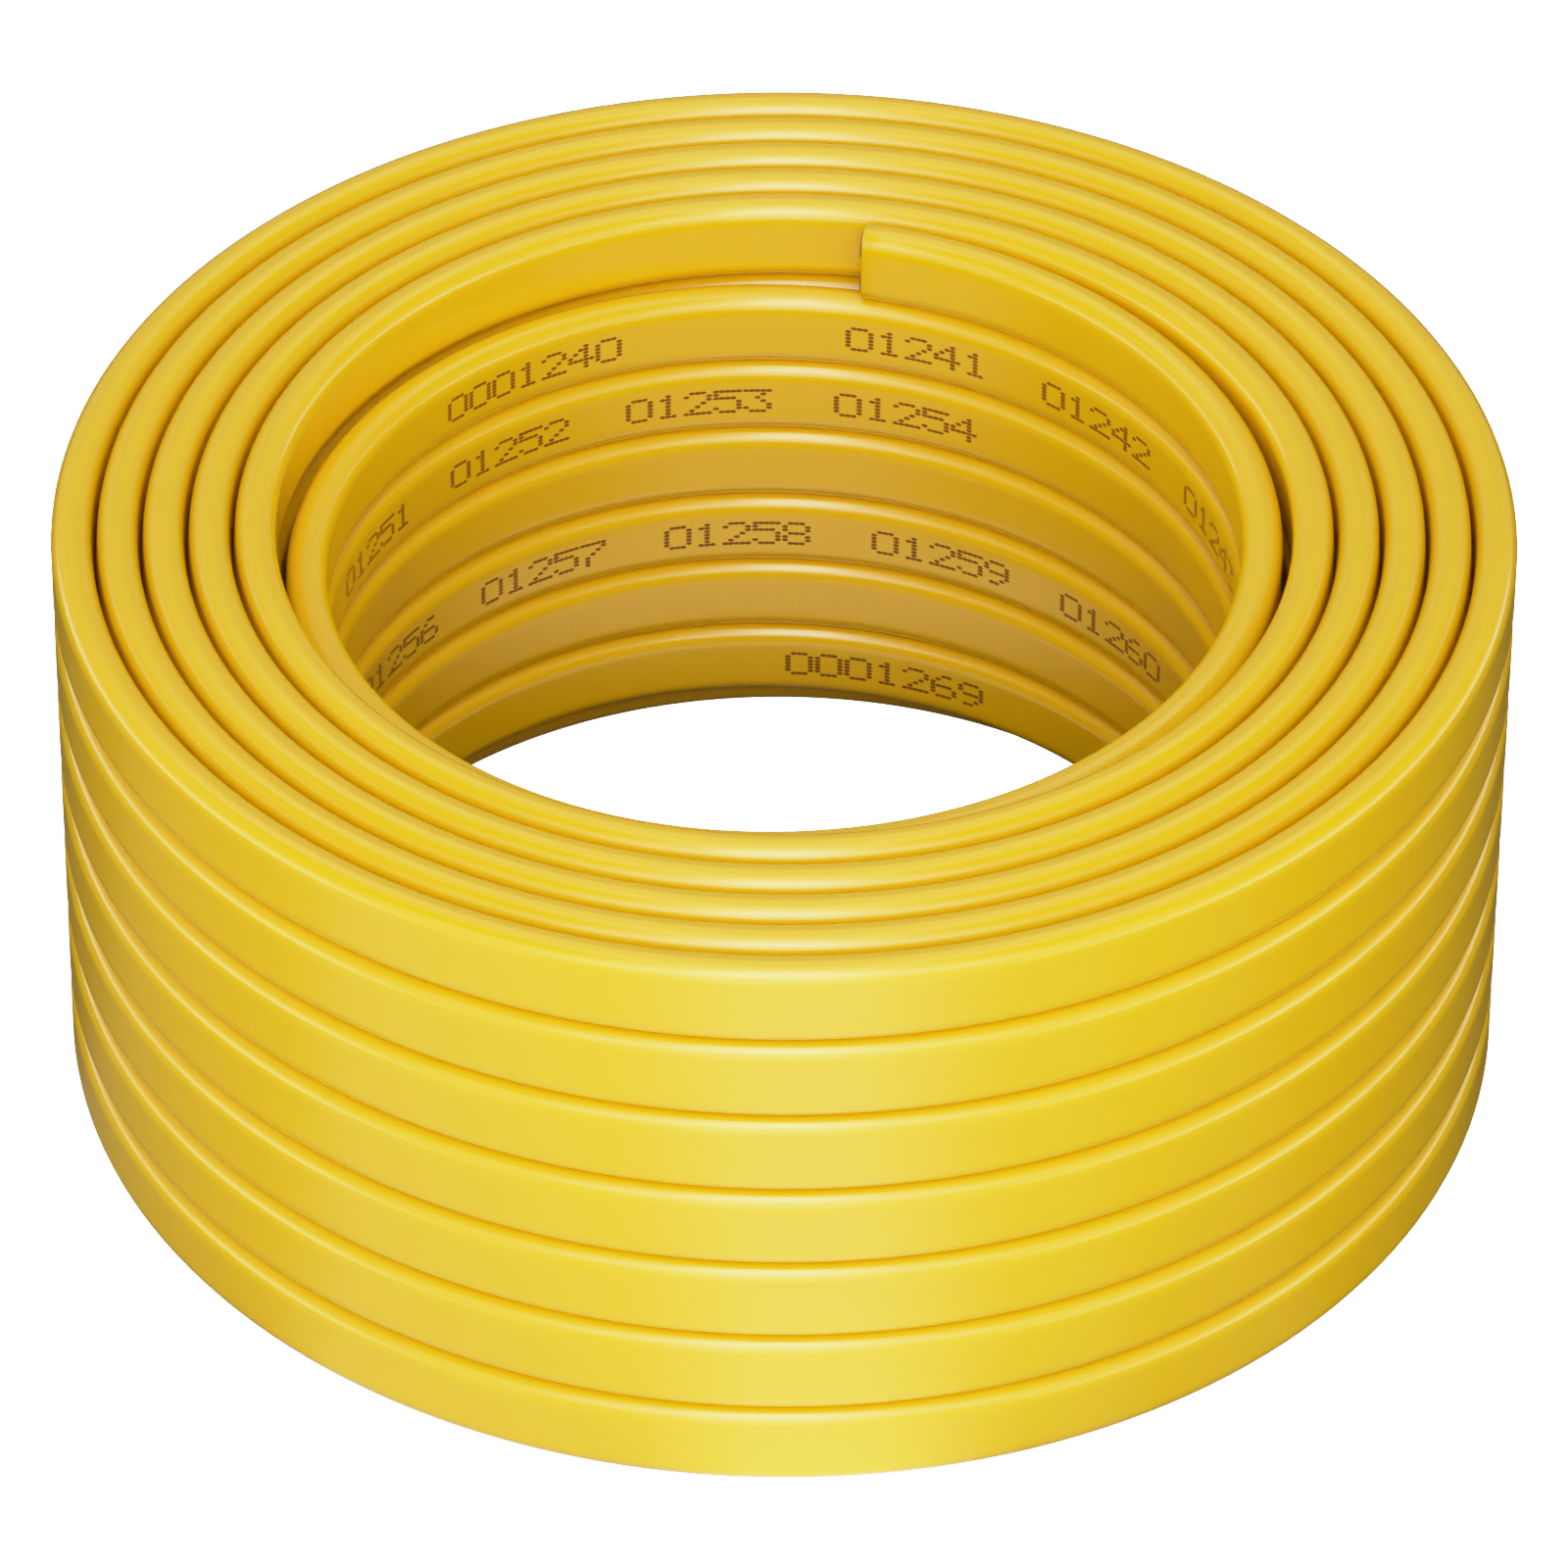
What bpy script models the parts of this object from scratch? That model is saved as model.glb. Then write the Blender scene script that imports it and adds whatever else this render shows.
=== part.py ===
"""Coil of flat electrical cable, standing on its end.

One length of flat two-conductor cable, wound up tight. Outside there are closed layers of
flat turns, the turns of each layer lying one above the other. Inside them one more layer
runs down as a helix, from the free cut end at the top to the bottom turn of the closed
layers, where the cable passes over into them.

Metres, +Z up. The origin is the centre of the base, and +Y is the side of the free end.
"""

import math

import bmesh
import bpy
from mathutils import Matrix, Vector

# Flat cable, which stands on its narrow edge in the coil
CABLE_WIDTH = 0.0118
CABLE_THICKNESS = 0.0056
EDGE_RADIUS = 0.0025

# Closed layers, whose turns are pressed a little wider
COIL_RADIUS = 0.100
LAYERS = 5
TURNS_PER_LAYER = 7
LAYER_GAP = 0.00065
PRESSED_WIDTH = 0.0124
TURN_GAP = 0.0004

# Inner layer, a helix that runs clockwise downwards, seen from above. Its axis lies a little
# nearer the back than the coil's.
INNER_LAYER_GAP = 0.0012
INNER_LAYER_SHIFT = 0.0008
HELIX_TURN_GAP = 0.00006
FREE_END_AZIMUTH = math.radians(9.6)
LEAD_IN_ANGLE = math.radians(50)
FLOOR_CLEARANCE = 0.0003

# Facets
STEPS_PER_TURN = 36
RING_CORNER_STEPS = 2
HELIX_CORNER_STEPS = 2
SHARP_ANGLE = math.radians(40)

# Sizes that follow
CORNER_RADIUS = min(EDGE_RADIUS, 0.46 * CABLE_THICKNESS)
LAYER_PITCH = CABLE_THICKNESS + LAYER_GAP
TURN_PITCH = PRESSED_WIDTH + TURN_GAP
COIL_HEIGHT = TURN_PITCH * (TURNS_PER_LAYER - 1) + PRESSED_WIDTH
BORE_WALL_RADIUS = COIL_RADIUS - LAYER_PITCH * (LAYERS - 1) - CABLE_THICKNESS
LAST_LAYER_RADIUS = BORE_WALL_RADIUS + CABLE_THICKNESS / 2
HELIX_RADIUS = BORE_WALL_RADIUS - INNER_LAYER_GAP - CABLE_THICKNESS / 2
HELIX_PITCH = CABLE_WIDTH + HELIX_TURN_GAP


def clear_scene():
    for thing in list(bpy.data.objects):
        bpy.data.objects.remove(thing, do_unlink=True)


def new_collection(name):
    collection = bpy.data.collections.new(name)
    bpy.context.scene.collection.children.link(collection)
    return collection


def jacket_material():
    """Soft yellow plastic of the cable's jacket."""
    material = bpy.data.materials.new("yellow_jacket")
    material.use_nodes = True
    shader = material.node_tree.nodes["Principled BSDF"]
    shader.inputs["Base Color"].default_value = (0.80, 0.55, 0.03, 1)
    shader.inputs["Roughness"].default_value = 0.35
    shader.inputs["Metallic"].default_value = 0
    return material


def corner_point(corner, along, outward, angle):
    """Point on a rounded corner: the corner's sharp tip, the way back along its side, and the
    angle turned from that side's outward direction towards the tip."""
    centre = corner - (along + outward) * CORNER_RADIUS
    return centre + (outward * math.cos(angle) + along * math.sin(angle)) * CORNER_RADIUS


def side_points(start, along, outward, turns, length, gap):
    """One side of the coil's section: a row of cable edges with rounded corners, and a groove
    between neighbours whose bottom lies in the middle of their gap."""
    angles = [math.pi / 2 * step / RING_CORNER_STEPS for step in range(RING_CORNER_STEPS)]
    points = []
    for turn in range(turns):
        near_tip = start + along * turn * (length + gap)
        far_tip = near_tip + along * length
        if turn:
            points.append(near_tip - along * gap / 2 - outward * CORNER_RADIUS)
            points += [corner_point(near_tip, -along, outward, angle) for angle in angles[:0:-1]]
        points.append(near_tip + along * CORNER_RADIUS)
        points += [corner_point(far_tip, along, outward, angle) for angle in angles]
    return points


def coil_section():
    """Half section of the closed layers, in X and Z: down the outer wall, in along the base,
    up the bore wall, which the inner layer covers, and out along the top."""
    right, up = Vector((1, 0, 0)), Vector((0, 0, 1))
    outer_top = right * COIL_RADIUS + up * COIL_HEIGHT
    outer_base = right * COIL_RADIUS
    inner_base = right * BORE_WALL_RADIUS
    inner_top = inner_base + up * COIL_HEIGHT
    return (
        side_points(outer_top, -up, right, TURNS_PER_LAYER, PRESSED_WIDTH, TURN_GAP)
        + side_points(outer_base, -right, -up, LAYERS, CABLE_THICKNESS, LAYER_GAP)
        + side_points(inner_base, up, -right, 1, COIL_HEIGHT, 0)
        + side_points(inner_top, right, up, LAYERS, CABLE_THICKNESS, LAYER_GAP)
    )


def turned_coil(name, collection):
    """The closed layers as one solid, turned about the coil's axis."""
    points = coil_section()
    edges = [(i, (i + 1) % len(points)) for i in range(len(points))]
    mesh = bpy.data.meshes.new(name)
    mesh.from_pydata(points, edges, [])
    coil = bpy.data.objects.new(name, mesh)
    collection.objects.link(coil)
    screw = coil.modifiers.new("turn", "SCREW")
    screw.steps = STEPS_PER_TURN
    screw.render_steps = STEPS_PER_TURN
    screw.merge_threshold = 0.0001
    return coil


def smooth_step(share):
    share = min(max(share, 0), 1)
    return share * share * (3 - 2 * share)


def helix_path():
    """Centre line of the inner layer. It runs at a constant slope from the free end, and swings
    out into the last closed layer as it nears the floor."""
    drop = COIL_HEIGHT - CABLE_WIDTH - FLOOR_CLEARANCE
    steps = int(drop / HELIX_PITCH * STEPS_PER_TURN)
    step_angle = 2 * math.pi / STEPS_PER_TURN
    lead_in_steps = LEAD_IN_ANGLE / step_angle
    points = []
    for step in range(steps + 1):
        swing = smooth_step((step - steps + lead_in_steps) / lead_in_steps)
        radius = HELIX_RADIUS + (LAST_LAYER_RADIUS - HELIX_RADIUS) * swing
        shift = INNER_LAYER_SHIFT * (1 - swing)
        azimuth = FREE_END_AZIMUTH + step * step_angle
        height = COIL_HEIGHT - CABLE_WIDTH / 2 - HELIX_PITCH * step / STEPS_PER_TURN
        points.append((
            radius * math.sin(azimuth),
            radius * math.cos(azimuth) + shift,
            height,
        ))
    return points


def poly_curve(name, points, closed, collection):
    curve = bpy.data.curves.new(name, "CURVE")
    curve.dimensions = "3D"
    spline = curve.splines.new("POLY")
    spline.points.add(len(points) - 1)
    for target, point in zip(spline.points, points):
        target.co = (*point, 1)
    spline.use_cyclic_u = closed
    holder = bpy.data.objects.new(name, curve)
    collection.objects.link(holder)
    return holder


def cable_outline():
    """Points of the cable's own section, thickness along X and width along Y."""
    points = []
    for quarter, (side_x, side_y) in enumerate([(1, 1), (-1, 1), (-1, -1), (1, -1)]):
        centre_x = side_x * (CABLE_THICKNESS / 2 - CORNER_RADIUS)
        centre_y = side_y * (CABLE_WIDTH / 2 - CORNER_RADIUS)
        for step in range(HELIX_CORNER_STEPS + 1):
            angle = math.pi / 2 * (quarter + step / HELIX_CORNER_STEPS)
            points.append((
                centre_x + CORNER_RADIUS * math.cos(angle),
                centre_y + CORNER_RADIUS * math.sin(angle),
                0,
            ))
    return points


def inner_layer(name, collection):
    """The helical layer as a closed mesh: the cable's section carried along its path."""
    outline = poly_curve(name + "_outline", cable_outline(), True, collection)
    path = poly_curve(name + "_path", helix_path(), False, collection)
    path.data.twist_mode = "Z_UP"
    path.data.bevel_mode = "OBJECT"
    path.data.bevel_object = outline
    path.data.use_fill_caps = True

    graph = bpy.context.evaluated_depsgraph_get()
    mesh = bpy.data.meshes.new_from_object(path.evaluated_get(graph))
    mesh.name = name
    shape = bmesh.new()
    shape.from_mesh(mesh)
    bmesh.ops.remove_doubles(shape, verts=shape.verts, dist=0.00001)
    bmesh.ops.recalc_face_normals(shape, faces=shape.faces)
    shape.to_mesh(mesh)
    shape.free()

    layer = bpy.data.objects.new(name, mesh)
    layer.matrix_world = Matrix(path.matrix_world)
    layer.hide_render = True
    layer.display_type = "WIRE"
    collection.objects.link(layer)
    bpy.data.objects.remove(path, do_unlink=True)
    bpy.data.objects.remove(outline, do_unlink=True)
    return layer


def main():
    clear_scene()
    parts = new_collection("cable_coil")
    joined = new_collection("joined_shapes")
    coil = turned_coil("flat_cable_coil", parts)
    union = coil.modifiers.new("inner_layer", "BOOLEAN")
    union.operation = "UNION"
    union.solver = "EXACT"
    union.object = inner_layer("inner_layer", joined)
    coil.data.materials.append(jacket_material())
    coil.data.shade_smooth()
    coil.data.set_sharp_from_angle(angle=SHARP_ANGLE)


main()
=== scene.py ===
"""Coil of flat yellow electrical cable: its turns, their finish, the studio and the camera.

Metres, +Z up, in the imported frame: the coil's axis is Z, its base lies at Z = 0, and +Y is the
side of the bore where the cut end lies. An azimuth runs clockwise from +Y, seen from above.
"""

import math

import bpy
import numpy as np
from mathutils import Matrix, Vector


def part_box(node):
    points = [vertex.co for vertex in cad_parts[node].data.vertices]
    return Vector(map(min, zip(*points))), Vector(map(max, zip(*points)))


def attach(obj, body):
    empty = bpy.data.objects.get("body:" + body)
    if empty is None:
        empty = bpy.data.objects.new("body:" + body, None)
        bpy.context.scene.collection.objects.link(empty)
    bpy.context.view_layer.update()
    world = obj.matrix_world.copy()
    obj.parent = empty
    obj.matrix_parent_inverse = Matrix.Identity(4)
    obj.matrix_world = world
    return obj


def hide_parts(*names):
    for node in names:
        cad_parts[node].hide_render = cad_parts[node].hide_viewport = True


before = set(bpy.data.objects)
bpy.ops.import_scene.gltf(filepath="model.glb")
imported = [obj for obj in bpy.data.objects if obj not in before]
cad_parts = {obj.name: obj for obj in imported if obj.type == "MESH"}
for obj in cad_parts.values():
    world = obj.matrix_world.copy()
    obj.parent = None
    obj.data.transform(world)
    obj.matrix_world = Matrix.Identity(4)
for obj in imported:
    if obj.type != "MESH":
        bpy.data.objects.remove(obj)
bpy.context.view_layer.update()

# The coil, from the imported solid
COIL_NODE = "flat_cable_coil"
coil_low, coil_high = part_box(COIL_NODE)
COIL_RADIUS = coil_high[0]
COIL_HEIGHT = coil_high[2]

# Flat cable, standing on its narrow edge; the closed layers' turns are pressed a little wider
CABLE_WIDTH = 0.0118
PRESSED_WIDTH = 0.0124
CABLE_THICKNESS = 0.0056
EDGE_RADIUS = 0.0027

# Closed layers
LAYERS = 5
TURNS_PER_LAYER = 7
LAYER_PITCH = 0.00625
TURN_PITCH = (COIL_HEIGHT - PRESSED_WIDTH) / (TURNS_PER_LAYER - 1)
BORE_WALL_RADIUS = COIL_RADIUS - LAYER_PITCH * (LAYERS - 1) - CABLE_THICKNESS
LAST_LAYER_RADIUS = BORE_WALL_RADIUS + CABLE_THICKNESS / 2
PRESSED_OVERLAP = 0.00001

# Inner layer, a helix that runs down clockwise and lies nearer to the others at the back
INNER_LAYER_GAP = 0.0012
INNER_LAYER_SHIFT = 0.0008
HELIX_RADIUS = BORE_WALL_RADIUS - INNER_LAYER_GAP - CABLE_THICKNESS / 2
HELIX_PITCH = 0.01186
FREE_END_AZIMUTH = math.radians(9.6)
LEAD_IN_ANGLE = math.radians(50)
FLOOR_CLEARANCE = 0.0003
END_ROUNDING = 0.0008

# Printed numbers on the inner layer's inner face, in a 5 by 7 dot matrix. A dot's half sizes
# are shares of the pitches. Each printed stretch has its first and last turn, and how many
# digits its numbers have.
DOT_ALONG = 0.00082
DOT_ACROSS = 0.00060
DOT_REACH_ALONG = 0.62
DOT_REACH_ACROSS = 0.52
DOT_PROUD = 0.000012
DOTS_PER_CHARACTER = 5.25
FIRST_NUMBER = 1240
PRINTED_TURNS = ((0.838, 0.914, 7), (0.996, 2.100, 5), (3.700, 4.790, 5), (5.975, 6.050, 7))
DIGIT_ROWS = {
    "0": (14, 17, 17, 17, 17, 17, 14), "1": (4, 12, 4, 4, 4, 4, 14),
    "2": (14, 17, 1, 2, 4, 8, 31), "3": (31, 2, 4, 2, 1, 17, 14),
    "4": (2, 6, 10, 18, 31, 2, 2), "5": (31, 16, 30, 1, 1, 17, 14),
    "6": (6, 8, 16, 30, 17, 17, 14), "7": (31, 1, 2, 4, 8, 8, 8),
    "8": (14, 17, 17, 14, 17, 17, 14), "9": (14, 17, 17, 15, 1, 2, 12),
}

# Conductors in the cut end: above and below its middle, and how far they stand out of it
CONDUCTOR_OFFSETS = (0.00275, -0.00275)
INSULATION_RADIUS = 0.0021
INSULATION_PROUD = 0.00015
COPPER_RADIUS = 0.0013
COPPER_PROUD = 0.00030
CONDUCTOR_EDGE = 0.00012
CONDUCTOR_DEPTH = 0.0004

# Floor: the sheet that the camera sees, and the glowing cards just above it
FLOOR_HALF = 6.0
FLOOR_GLOW = 3.2
FLOOR_LIGHT_HEIGHT = 0.0002
BORE_LIGHT_HEIGHT = 0.0004
BORE_LIGHT_RADIUS = 0.0665

# Floor light: how bright it is between neighbouring bearings, in degrees to the right of the
# camera's side, as seen from a point under the coil's front
GLOW_APEX = (0.0, -0.050)
GLOW_EDGES = (-180, -110, -70, -45, -20, -10, 18, 29, 50, 75, 110, 180)
GLOW_STRENGTHS = (0.05, 0.16, 0.60, 0.62, 0.95, 1.42, 0.80, 0.33, 0.16, 0.04, 0.04)

# Light tent: one row for each band of elevation, from the floor up, and in it how bright the
# tent is between neighbouring azimuths, in degrees to the right of the camera's side
TENT_RADIUS = 2.0
TENT_AZIMUTHS = (-180, -130, -90, -60, -35, -14, 14, 35, 60, 90, 130, 180)
TENT_ELEVATIONS = (0, 10, 20, 30, 40, 50, 60, 75, 90)
TENT_STRENGTHS = (
    (0.45, 2.90, 3.20, 1.10, 0.50, 2.40, 0.60, 1.70, 3.20, 2.90, 0.45),
    (0.35, 0.80, 1.80, 1.00, 0.80, 2.60, 0.80, 1.50, 1.80, 0.50, 0.35),
    (0.60, 0.24, 0.40, 0.50, 1.60, 3.00, 1.50, 0.70, 0.30, 0.15, 0.43),
    (0.26, 0.40, 0.19, 1.20, 2.90, 4.40, 2.90, 1.10, 0.25, 0.12, 0.25),
    (0.60, 0.40, 0.20, 0.70, 2.20, 7.40, 1.90, 0.50, 0.20, 0.05, 0.54),
    (1.40, 0.05, 0.06, 0.10, 0.90, 6.60, 1.00, 0.10, 0.10, 0.05, 1.40),
    (0.80, 0.60, 0.05, 0.10, 1.80, 5.00, 1.80, 0.10, 0.05, 0.70, 0.85),
    (1.30, 1.40, 1.50, 1.70, 1.90, 2.10, 1.90, 1.70, 1.50, 1.40, 1.30),
)

# Film: straight response up to the knee, the level where bright yellows end, and white
FILM_KNEE = 0.35
FILM_CEILING = 0.92
FILM_WHITE = 3.0

# Mesh steps
RING_STEPS = 180
CORNER_STEPS = 7
SIDE_SHARES = (0.1, 0.5, 0.9)
END_STEPS = 5
DOT_SIDES = 8
CONDUCTOR_STEPS = 32

# Camera, which looks along +Y and down
CAMERA_LENS = 249.07
CAMERA_PITCH = math.radians(38.706)
CAMERA_ROLL = math.radians(0.372)
CAMERA_PLACE = (0.00020, -1.17816, COIL_HEIGHT + 0.89558)


class Shade:
    """A shader socket with arithmetic: each operator adds one Math node and wraps its output."""

    def __init__(self, paint, socket):
        self.paint = paint
        self.socket = socket

    def _math(self, operation, *values):
        return self.paint.node("ShaderNodeMath", {"operation": operation}, dict(enumerate(values)))

    def __add__(self, other):
        return self._math("ADD", self, other)

    def __radd__(self, other):
        return self._math("ADD", other, self)

    def __sub__(self, other):
        return self._math("SUBTRACT", self, other)

    def __rsub__(self, other):
        return self._math("SUBTRACT", other, self)

    def __mul__(self, other):
        return self._math("MULTIPLY", self, other)

    def __rmul__(self, other):
        return self._math("MULTIPLY", other, self)


class Paint:
    """A material with a Principled BSDF and short ways to add what feeds it."""

    def __init__(self, name, **constants):
        self.material = bpy.data.materials.new(name)
        self.material.use_nodes = True
        self.tree = self.material.node_tree
        self.shader = self.tree.nodes["Principled BSDF"]
        for socket, value in constants.items():
            self.shader.inputs[socket.replace("_", " ")].default_value = value

    def node(self, kind, settings=None, inputs=None, output=0):
        """Adds a node: its settings first, then the values or links of its sockets."""
        made = self.tree.nodes.new(kind)
        for name, value in (settings or {}).items():
            setattr(made, name, value)
        for name, value in (inputs or {}).items():
            self.put(made.inputs[name], value)
        return Shade(self, made.outputs[output])

    def put(self, socket, value):
        if isinstance(value, Shade):
            self.tree.links.new(value.socket, socket)
        else:
            socket.default_value = value

    def feed(self, socket, value):
        self.put(self.shader.inputs[socket], value)

    def attribute(self, name):
        """A vector attribute of the mesh."""
        return self.node("ShaderNodeAttribute", {"attribute_name": name}, output="Vector")

    def noise(self, place, scale, detail=2.0, roughness=0.5):
        """Noise from 0 to 1 about 0.5."""
        inputs = {"Vector": place, "Scale": scale, "Detail": detail, "Roughness": roughness}
        return self.node("ShaderNodeTexNoise", {}, inputs, output="Fac")

    def stretch(self, place, factors):
        return self.node("ShaderNodeVectorMath", {"operation": "MULTIPLY"}, {0: place, 1: factors})

    def blend(self, share, low, high):
        """A colour between two, by a share from 0 to 1."""
        inputs = {"Factor": share, 6: low, 7: high}
        return self.node("ShaderNodeMix", {"data_type": "RGBA"}, inputs, output=2)

    def bump(self, height, distance, strength=1.0):
        inputs = {"Height": height, "Distance": distance, "Strength": strength}
        return self.node("ShaderNodeBump", {}, inputs)


def jacket_finish():
    """Extruded yellow vinyl: die lines along the cable, a faint orange peel and soft mottling."""
    paint = Paint("yellow_vinyl", Metallic=0.0, IOR=1.70)
    grain = paint.attribute("grain")
    die_lines = paint.noise(paint.stretch(grain, (0.5, 0.5, 2.5)), 1.0, 2.0, 0.6)
    peel = paint.noise(paint.stretch(grain, (40.0, 40.0, 0.8)), 1.0, 2.0)
    mottle = paint.noise(paint.stretch(grain, (4.0, 4.0, 0.15)), 1.0, 2.0)
    colour = paint.blend(mottle, (0.85, 0.502, 0.003, 1), (0.87, 0.522, 0.004, 1))
    paint.feed("Base Color", colour)
    paint.feed("Roughness", 0.15 + 0.05 * die_lines + 0.03 * mottle)
    paint.feed("Normal", paint.bump(die_lines + 0.6 * peel, 0.000001))
    return paint.material


def ink_finish():
    """Brown printing ink, thinner in places."""
    paint = Paint("brown_ink", Metallic=0.0, IOR=1.35)
    place = paint.node("ShaderNodeTexCoord", output="Object")
    thin = paint.noise(place, 900.0, 2.0)
    paint.feed("Base Color", paint.blend(thin, (0.20, 0.068, 0.003, 1), (0.33, 0.135, 0.005, 1)))
    paint.feed("Roughness", 0.30 + 0.15 * thin)
    return paint.material


def conductor_finish(name, dark, light, metallic, roughness):
    """Copper or insulation as the cutter left it: fine scratches across the end."""
    paint = Paint(name, Metallic=metallic)
    place = paint.node("ShaderNodeTexCoord", output="Object")
    scratches = paint.noise(paint.stretch(place, (300.0, 300.0, 4000.0)), 1.0, 3.0)
    paint.feed("Base Color", paint.blend(scratches, dark, light))
    paint.feed("Roughness", roughness + 0.2 * scratches)
    return paint.material


def cable_section(width, inset=0.0):
    """The cable's rounded rectangle, drawn in by inset: quarter circles about four corner
    centres, and three points on each straight side between them. Returns the offsets outwards
    and upwards and the distance run round the section, as arrays."""
    quarters = np.arange(4)[:, None]
    angles = (quarters + np.linspace(0, 1, CORNER_STEPS + 1)[None]) * math.pi / 2
    side_x = np.array([1, -1, -1, 1])[:, None]
    side_z = np.array([1, 1, -1, -1])[:, None]
    radius = EDGE_RADIUS - inset
    x = side_x * (CABLE_THICKNESS / 2 - EDGE_RADIUS) + radius * np.cos(angles)
    z = side_z * (width / 2 - EDGE_RADIUS) + radius * np.sin(angles)
    corner_ends = np.stack([x[:, -1], z[:, -1]], 1)
    next_starts = np.roll(np.stack([x[:, 0], z[:, 0]], 1), -1, 0)
    sides = [corner_ends + (next_starts - corner_ends) * share for share in SIDE_SHARES]
    x = np.concatenate([x] + [side[:, :1] for side in sides], 1).ravel()
    z = np.concatenate([z] + [side[:, 1:] for side in sides], 1).ravel()
    run = np.concatenate([[0], np.cumsum(np.hypot(np.diff(x), np.diff(z)))])
    return x, z, run


def pressed_section(layer, turn):
    """The section of a closed turn. Each side that faces another closed turn is pressed out at
    its middle by half the gap between them, so that the two touch."""
    x, z, run = cable_section(PRESSED_WIDTH)
    per_side = CORNER_STEPS + 1 + len(SIDE_SHARES)
    top, inner, bottom, outer = np.arange(4) * per_side + CORNER_STEPS + 2
    across = (LAYER_PITCH - CABLE_THICKNESS) / 2 + PRESSED_OVERLAP
    upward = (TURN_PITCH - PRESSED_WIDTH) / 2 + PRESSED_OVERLAP
    z[top] += upward * (turn > 0)
    z[bottom] -= upward * (turn < TURNS_PER_LAYER - 1)
    x[outer] += across * (layer > 0)
    x[inner] -= across * (layer < LAYERS - 1)
    return x, z, run


def grid_faces(rows, columns, closed_rows):
    """Quads of a grid whose columns close on themselves, and whose rows may."""
    row = np.arange(rows if closed_rows else rows - 1)[:, None]
    column = np.arange(columns)[None]
    next_row, next_column = (row + 1) % rows, (column + 1) % columns
    corners = [row * columns + column, row * columns + next_column,
               next_row * columns + next_column, next_row * columns + column]
    return np.stack(corners, -1).reshape(-1, 4)


def capped_faces(rows, columns):
    """Quads of a tube of rings, and a flat cap on its first and last ring."""
    faces = grid_faces(rows, columns, False).tolist()
    faces.append(list(range(columns))[::-1])
    faces.append([(rows - 1) * columns + column for column in range(columns)])
    return faces


def add_mesh(name, points, faces, material):
    """A mesh object with its material, linked to the scene."""
    mesh = bpy.data.meshes.new(name)
    mesh.from_pydata(points.tolist(), [], faces)
    mesh.materials.append(material)
    thing = bpy.data.objects.new(name, mesh)
    bpy.context.scene.collection.objects.link(thing)
    return thing


def add_attribute(thing, name, vectors):
    attribute = thing.data.attributes.new(name, "FLOAT_VECTOR", "POINT")
    attribute.data.foreach_set("vector", vectors.ravel())


def make_piece(name, points, faces, grain, material):
    """A smooth shaded piece of cable on the root body, with its grain attribute."""
    piece = add_mesh(name, points, faces, material)
    add_attribute(piece, "grain", grain)
    piece.data.shade_smooth()
    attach(piece, "root")
    return piece


def grain_coordinates(azimuth, run, turn):
    """Where a point lies on the jacket, in a form that closes round a turn: the cosine and sine
    of its azimuth, and its run round the section in millimetres, moved on for each turn."""
    place = np.broadcast_arrays(np.cos(azimuth), np.sin(azimuth), run * 1000 + turn * 37)
    return np.stack(place, -1)


def closed_layer(index, material):
    """One layer of closed turns. A point at azimuth a of a turn is the section's offset x, z
    added to the turn's radius r and height h: ((r + x) sin a, (r + x) cos a, h + z)."""
    azimuth = np.linspace(0, 2 * math.pi, RING_STEPS, endpoint=False)[:, None]
    radius = COIL_RADIUS - LAYER_PITCH * index - CABLE_THICKNESS / 2
    points, faces, grains = [], [], []
    for turn in range(TURNS_PER_LAYER):
        x, z, run = pressed_section(index, turn)
        height = COIL_HEIGHT - TURN_PITCH * turn - PRESSED_WIDTH / 2
        away = radius + x[None]
        lift = height + z[None] + 0 * azimuth
        ring = np.stack([away * np.sin(azimuth), away * np.cos(azimuth), lift], -1)
        grain = grain_coordinates(azimuth, run[None], index * TURNS_PER_LAYER + turn)
        points.append(ring.reshape(-1, 3))
        grains.append(grain.reshape(-1, 3))
        faces.append(grid_faces(RING_STEPS, len(x), True) + turn * RING_STEPS * len(x))
    points, grains = np.concatenate(points), np.concatenate(grains)
    faces = np.concatenate(faces).tolist()
    return make_piece(f"layer_{index + 1}", points, faces, grains, material)


def smooth_step(share):
    share = np.clip(share, 0, 1)
    return share * share * (3 - 2 * share)


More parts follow.
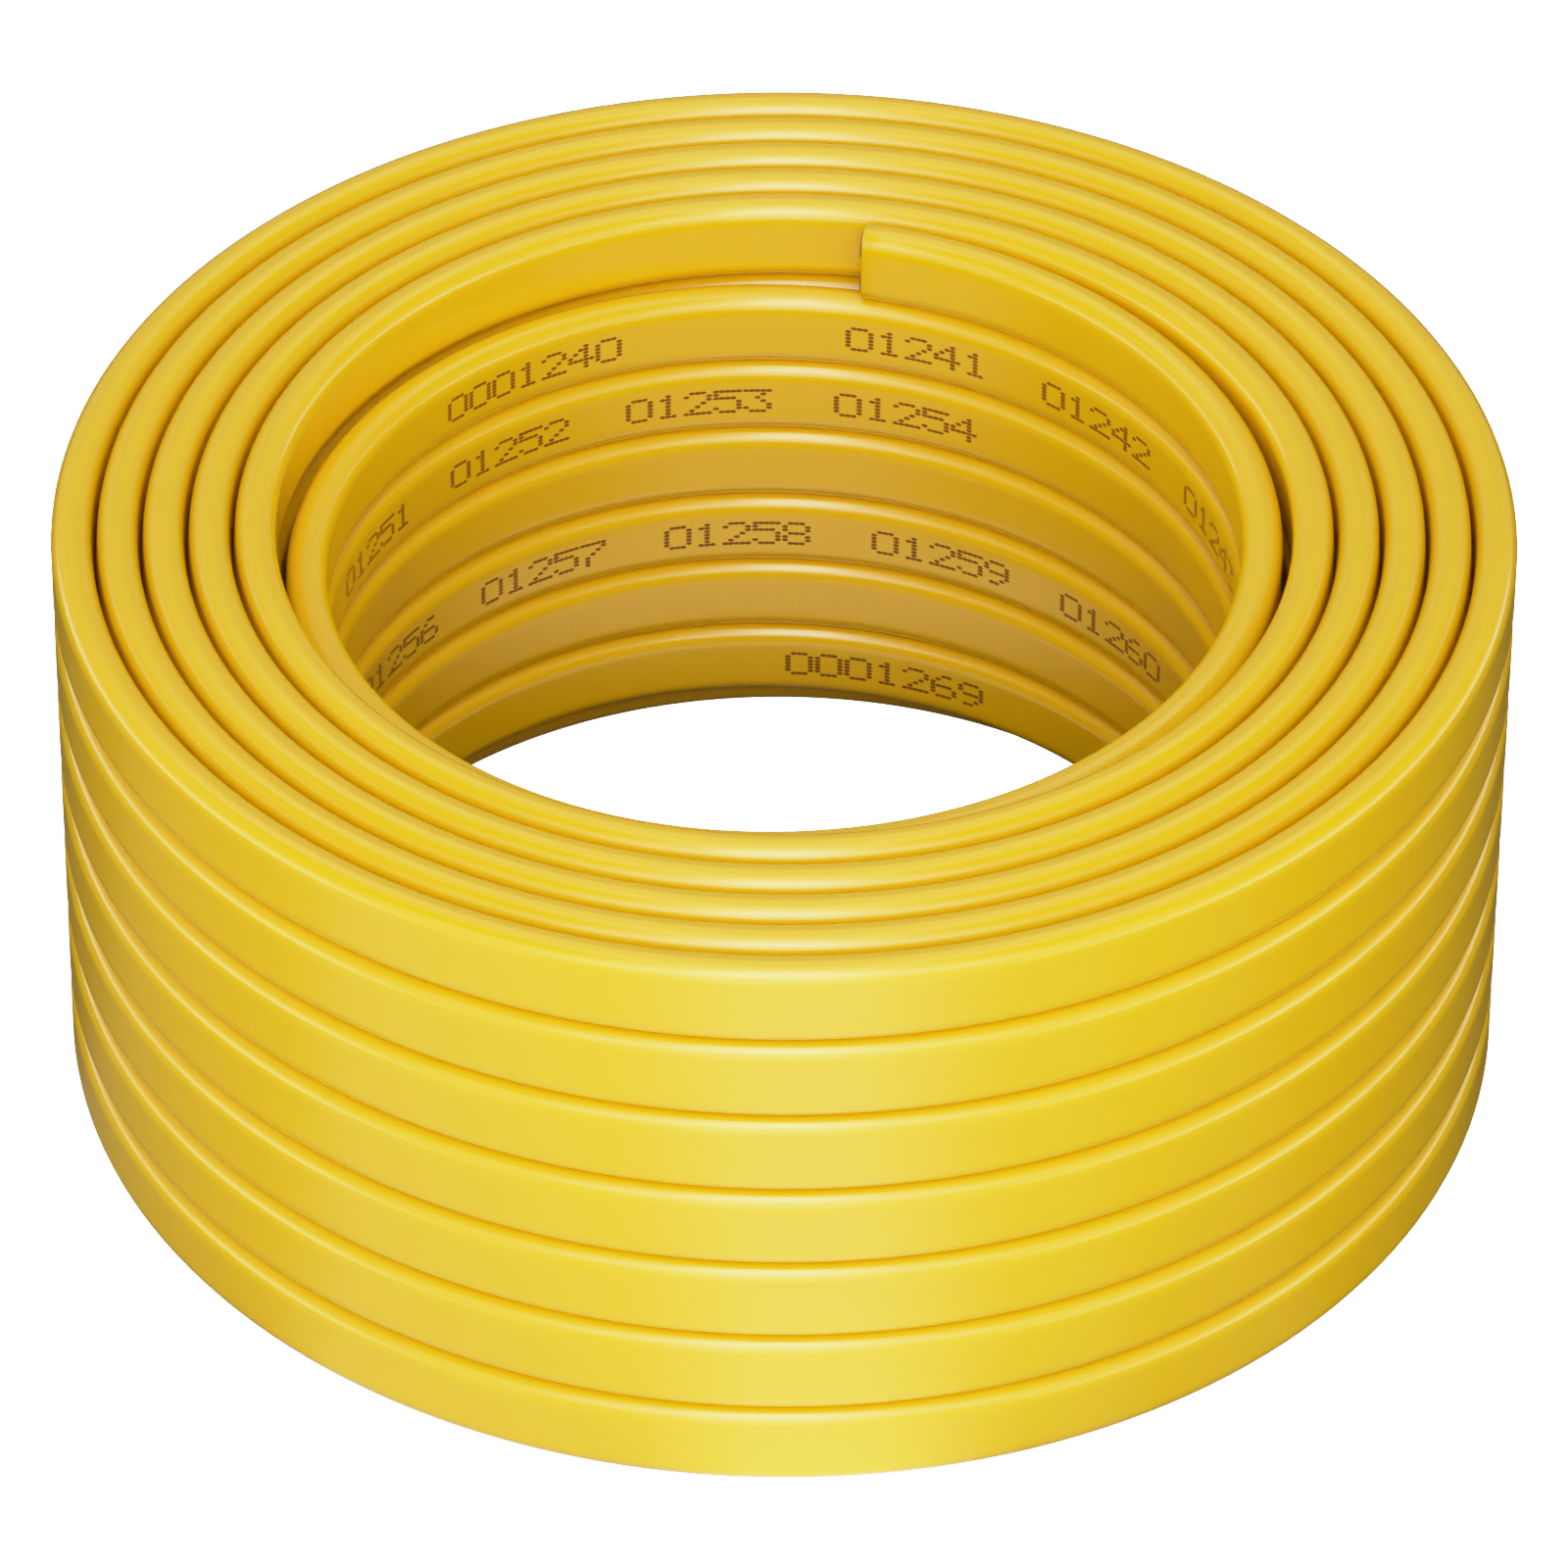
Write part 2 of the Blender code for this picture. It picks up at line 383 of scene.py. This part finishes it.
def inner_layer(material):
    """The helical layer, from the cut end down to where it swings out into the last closed
    layer. The centre line at azimuth a is (r sin a, r cos a, h), with h falling by one pitch in
    each turn. Near the cut end the section is drawn in along a quarter circle."""
    drop = COIL_HEIGHT - CABLE_WIDTH - FLOOR_CLEARANCE
    turned = drop / HELIX_PITCH * 2 * math.pi
    steps = int(turned / (2 * math.pi) * RING_STEPS)
    azimuth = np.linspace(0, turned, steps + 1)
    swing = smooth_step((azimuth - turned + LEAD_IN_ANGLE) / LEAD_IN_ANGLE)
    rounding = np.linspace(0, math.pi / 2, END_STEPS + 1)
    lead = END_ROUNDING * (1 - np.cos(rounding)) / HELIX_RADIUS
    azimuth = np.concatenate([lead[:-1], azimuth[1:] + lead[-1]])
    swing = np.concatenate([0 * lead[:-1], swing[1:]])
    inset = np.concatenate([END_ROUNDING * (1 - np.sin(rounding[:-1])), np.zeros(steps)])
    radius = HELIX_RADIUS + (LAST_LAYER_RADIUS - HELIX_RADIUS) * swing
    height = COIL_HEIGHT - CABLE_WIDTH / 2 - HELIX_PITCH * azimuth / (2 * math.pi)
    azimuth = azimuth + FREE_END_AZIMUTH
    plain_x, plain_z, run = cable_section(CABLE_WIDTH)
    drawn_x, drawn_z, _ = cable_section(CABLE_WIDTH, END_ROUNDING)
    share = (inset / END_ROUNDING)[:, None]
    x = plain_x + (drawn_x - plain_x) * share
    z = plain_z + (drawn_z - plain_z) * share
    away = radius[:, None] + x
    turn = azimuth[:, None]
    shift = INNER_LAYER_SHIFT * (1 - swing[:, None])
    points = np.stack([away * np.sin(turn), away * np.cos(turn) + shift, height[:, None] + z], -1)
    faces = capped_faces(*points.shape[:2])
    grain = grain_coordinates(turn, run[None], LAYERS * TURNS_PER_LAYER)
    return make_piece("inner_layer", points.reshape(-1, 3), faces, grain.reshape(-1, 3), material)


def dot_places():
    """Where the dots of the printed numbers lie: how far along the cable's inner face from the
    cut end, and how far above its middle. The numbers count up and fill the printed turns."""
    face_turn = 2 * math.pi * (HELIX_RADIUS - CABLE_THICKNESS / 2)
    character = DOTS_PER_CHARACTER * DOT_ALONG
    along, across, number = [], [], FIRST_NUMBER
    for first, last, digits in PRINTED_TURNS:
        spacing = (digits + 2) * character
        count = max(1, int((last - first) * face_turn / spacing))
        for place in range(count):
            start = first * face_turn + place * spacing
            for index, digit in enumerate(f"{number:0{digits}d}"):
                rows = np.array(DIGIT_ROWS[digit])[:, None]
                row, column = np.nonzero(rows >> np.arange(4, -1, -1) & 1)
                along.append(start + index * character + column * DOT_ALONG)
                across.append((3 - row) * DOT_ACROSS)
            number += 1
    return np.concatenate(along), np.concatenate(across)


def printed_numbers(material):
    """Dots of ink, each a low eight-sided cake on the inner layer's inner face. A dot's corner
    at angle b lies its half size along times cos b and its half size across times sin b from
    its middle, and neighbours run together. A point at distance s along the cable goes to
    azimuth s / r, at the radius r less its own height and at the helix's height there."""
    along, across = dot_places()
    corner = (np.arange(DOT_SIDES) + 0.5) * 2 * math.pi / DOT_SIDES
    shape_along = DOT_REACH_ALONG * DOT_ALONG * np.cos(corner)
    shape_across = DOT_REACH_ACROSS * DOT_ACROSS * np.sin(corner)
    face_radius = HELIX_RADIUS - CABLE_THICKNESS / 2
    lift = np.array([-DOT_PROUD, DOT_PROUD])[None, :, None]
    size = np.array([1.0, 0.9])[None, :, None]
    turned = (along[:, None, None] + shape_along * size) / face_radius
    azimuth = turned + FREE_END_AZIMUTH
    height = COIL_HEIGHT - CABLE_WIDTH / 2 - HELIX_PITCH * turned / (2 * math.pi)
    height = height + across[:, None, None] + shape_across * size
    away = face_radius - lift + 0 * turned
    shifted = away * np.cos(azimuth) + INNER_LAYER_SHIFT
    points = np.stack([away * np.sin(azimuth), shifted, height], -1).reshape(-1, 3)
    one = capped_faces(2, DOT_SIDES)
    starts = 2 * DOT_SIDES * np.arange(len(along))[:, None, None]
    sides = (np.array(one[:DOT_SIDES])[None] + starts).reshape(-1, 4)
    caps = (np.array(one[DOT_SIDES:])[None] + starts).reshape(-1, DOT_SIDES)
    piece = add_mesh("printed_numbers", points, sides.tolist() + caps.tolist(), material)
    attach(piece, "root")
    return piece


def cut_end_discs(name, radius, proud, material):
    """Round ends of conductors in the cut face. A point of the profile at angle b is its radius
    times cos b outwards and sin b upwards from the conductor's middle, and lies in front of the
    cut face by its depth."""
    shoulder = (radius, proud - CONDUCTOR_EDGE)
    profile = np.array([(radius - CONDUCTOR_EDGE, proud), shoulder, (radius, -CONDUCTOR_DEPTH)])
    angle = np.linspace(0, 2 * math.pi, CONDUCTOR_STEPS, endpoint=False)[None]
    outward = np.array([math.sin(FREE_END_AZIMUTH), math.cos(FREE_END_AZIMUTH), 0])
    back = np.array([-math.cos(FREE_END_AZIMUTH), math.sin(FREE_END_AZIMUTH), 0])
    upward = np.array([0, 0, 1])
    reach = profile[:, :1, None]
    shift = np.array([0, INNER_LAYER_SHIFT, COIL_HEIGHT - CABLE_WIDTH / 2])
    middle = outward * HELIX_RADIUS + shift
    disc = (middle + reach * np.cos(angle)[..., None] * outward
            + reach * np.sin(angle)[..., None] * upward + profile[:, 1:, None] * back)
    points = np.concatenate([disc.reshape(-1, 3) + upward * offset for offset in CONDUCTOR_OFFSETS])
    faces = []
    for index in range(len(CONDUCTOR_OFFSETS)):
        start = index * disc.shape[0] * disc.shape[1]
        faces += [[start + corner for corner in face] for face in capped_faces(*disc.shape[:2])]
    piece = add_mesh(name, points, faces, material)
    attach(piece, "root")
    return piece


def glow_finish(name, strength):
    """A surface that gives off light and reflects none."""
    paint = Paint(name, Roughness=0.9, Emission_Strength=strength)
    paint.feed("Base Color", (0, 0, 0, 1))
    paint.feed("Specular IOR Level", 0.0)
    return paint


def shown_floor():
    """A pale level floor, far larger than the view. It is what the camera sees."""
    half = FLOOR_HALF
    paint = glow_finish("pale_floor", FLOOR_GLOW)
    shade = paint.noise(paint.node("ShaderNodeTexCoord", output="Object"), 3.0)
    paint.feed("Emission Color", paint.blend(shade, (0.98, 0.98, 0.98, 1), (1, 1, 1, 1)))
    corners = np.array([(-half, -half, 0), (half, -half, 0), (half, half, 0), (-half, half, 0)])
    piece = add_mesh("floor", corners, [(0, 1, 2, 3)], paint.material)
    piece.visible_diffuse = False
    piece.visible_glossy = False
    piece.visible_transmission = False
    piece.visible_shadow = False


def steps_blended(value, edges, levels, soft):
    """Levels that hold between neighbouring edges, with a ramp of a soft width about each."""
    edges = np.asarray(edges, float)
    places = np.stack([edges[:-1] + soft / 2, edges[1:] - soft / 2], 1).ravel()
    return np.interp(value, places, np.repeat(levels, 2))


def glowing_card(name, points, faces, glow):
    """A surface of light that the camera doesn't see: it lights the coil and shows in its gloss."""
    paint = glow_finish(name, 1.0)
    paint.feed("Emission Color", paint.attribute("glow"))
    piece = add_mesh(name, points, faces, paint.material)
    add_attribute(piece, "glow", np.repeat(glow.ravel()[:, None], 3, 1))
    piece.visible_camera = False


def floor_light():
    """What the floor sends to the coil: bright in front, dimmer to the sides and the back. A
    point at distance d and bearing b from the apex is (d sin b, -d cos b) from it. Only the
    innermost ring is capped."""
    bearing = np.radians(np.arange(-180, 180, 6.0))
    distance = np.array([0.004, 0.16, 0.4, 1.0, 4.0])[:, None]
    x = GLOW_APEX[0] + distance * np.sin(bearing)
    y = GLOW_APEX[1] - distance * np.cos(bearing)
    points = np.stack([x, y, 0 * x + FLOOR_LIGHT_HEIGHT], -1)
    glow = steps_blended(np.degrees(bearing), GLOW_EDGES, GLOW_STRENGTHS, 8)
    faces = capped_faces(*points.shape[:2])[:-1]
    glowing_card("floor_light", points.reshape(-1, 3), faces, glow + 0 * x)


def bore_light():
    """What the floor of the bore sends to its walls, on a grid of rings and bearings. Its front
    half glows evenly, and a narrow beam runs back from the middle."""
    bearing = np.radians(np.arange(0, 360, 12.0))
    distance = np.linspace(0.001, BORE_LIGHT_RADIUS, 12)[:, None]
    x = distance * np.sin(bearing)
    y = -distance * np.cos(bearing)
    points = np.stack([x, y, 0 * x + BORE_LIGHT_HEIGHT], -1)
    beam = steps_blended(x, (-0.07, -0.012, 0.014, 0.07), (0.02, 0.65, 0.02), 0.010)
    beam = beam * steps_blended(y, (-0.07, 0.0, 0.041, 0.07), (0.0, 1.0, 0.1), 0.008)
    front_half = steps_blended(y, (-0.07, 0.004, 0.07), (0.38, 0.0), 0.010)
    glow = np.maximum(front_half, beam)
    faces = capped_faces(*points.shape[:2])[:-1]
    glowing_card("bore_light", points.reshape(-1, 3), faces, glow)


def light_tent():
    """A dome of light over the coil. A point at azimuth a and elevation e lies at the tent's
    radius times (cos e sin a, -cos e cos a, sin e). The dome is open at the floor."""
    azimuth = np.arange(-180, 180, 7.5)
    elevation = np.arange(0, 90, 5.0)
    bands = [steps_blended(azimuth, TENT_AZIMUTHS, levels, 6) for levels in TENT_STRENGTHS]
    columns = [steps_blended(elevation, TENT_ELEVATIONS, levels, 3) for levels in zip(*bands)]
    turn, lift = np.radians(azimuth)[None], np.radians(elevation)[:, None]
    flat = np.cos(lift)
    dome = np.stack([flat * np.sin(turn), -flat * np.cos(turn), np.sin(lift) + 0 * turn], -1)
    faces = capped_faces(*dome.shape[:2])
    del faces[-2]
    glowing_card("light_tent", TENT_RADIUS * dome.reshape(-1, 3), faces, np.stack(columns, 1))


def studio():
    """No light but that of the glowing surfaces."""
    world = bpy.data.worlds.new("studio")
    world.use_nodes = True
    world.node_tree.nodes["Background"].inputs["Strength"].default_value = 0.0
    bpy.context.scene.world = world
    light_tent()
    shown_floor()
    floor_light()
    bore_light()


def film_response():
    """The picture's response to light: straight up to the knee, a shoulder above it that levels
    off at the ceiling, and a last rise to white for the floor."""
    settings = bpy.context.scene.view_settings
    settings.view_transform = "Standard"
    settings.use_curve_mapping = True
    mapping = settings.curve_mapping
    mapping.white_level = (FILM_WHITE, FILM_WHITE, FILM_WHITE)
    curve = mapping.curves[3]
    light = np.array([0.15, 0.35, 0.5, 0.65, 0.8, 1.0, 1.25, 1.55, 1.9, 2.3])
    span = FILM_CEILING - FILM_KNEE
    shoulder = FILM_KNEE + span * np.tanh((light - FILM_KNEE) / span)
    shown = np.where(light < FILM_KNEE, light, shoulder)
    for x, y in zip(light / FILM_WHITE, shown):
        curve.points.new(float(x), float(y))
    mapping.update()


def camera():
    """The photograph's view: pitched down, with a slight roll about the line of sight."""
    view = bpy.data.cameras.new("camera")
    view.lens = CAMERA_LENS
    view.clip_end = 30
    holder = bpy.data.objects.new("camera", view)
    pitch = Matrix.Rotation(math.pi / 2 - CAMERA_PITCH, 4, "X")
    roll = Matrix.Rotation(CAMERA_ROLL, 4, "Z")
    holder.matrix_world = Matrix.Translation(CAMERA_PLACE) @ pitch @ roll
    bpy.context.scene.collection.objects.link(holder)
    bpy.context.scene.camera = holder


camera()
studio()
film_response()
jacket = jacket_finish()
pieces = [closed_layer(index, jacket) for index in range(LAYERS)]
pieces.append(inner_layer(jacket))
for piece in pieces:
    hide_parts(COIL_NODE)
printed_numbers(ink_finish())
insulation = conductor_finish("insulation", (0.03, 0.03, 0.03, 1), (0.06, 0.06, 0.06, 1), 0.0, 0.35)
copper = conductor_finish("cut_copper", (0.70, 0.30, 0.16, 1), (0.86, 0.44, 0.26, 1), 1.0, 0.25)
cut_end_discs("conductor_insulation", INSULATION_RADIUS, INSULATION_PROUD, insulation)
cut_end_discs("conductor_copper", COPPER_RADIUS, COPPER_PROUD, copper)
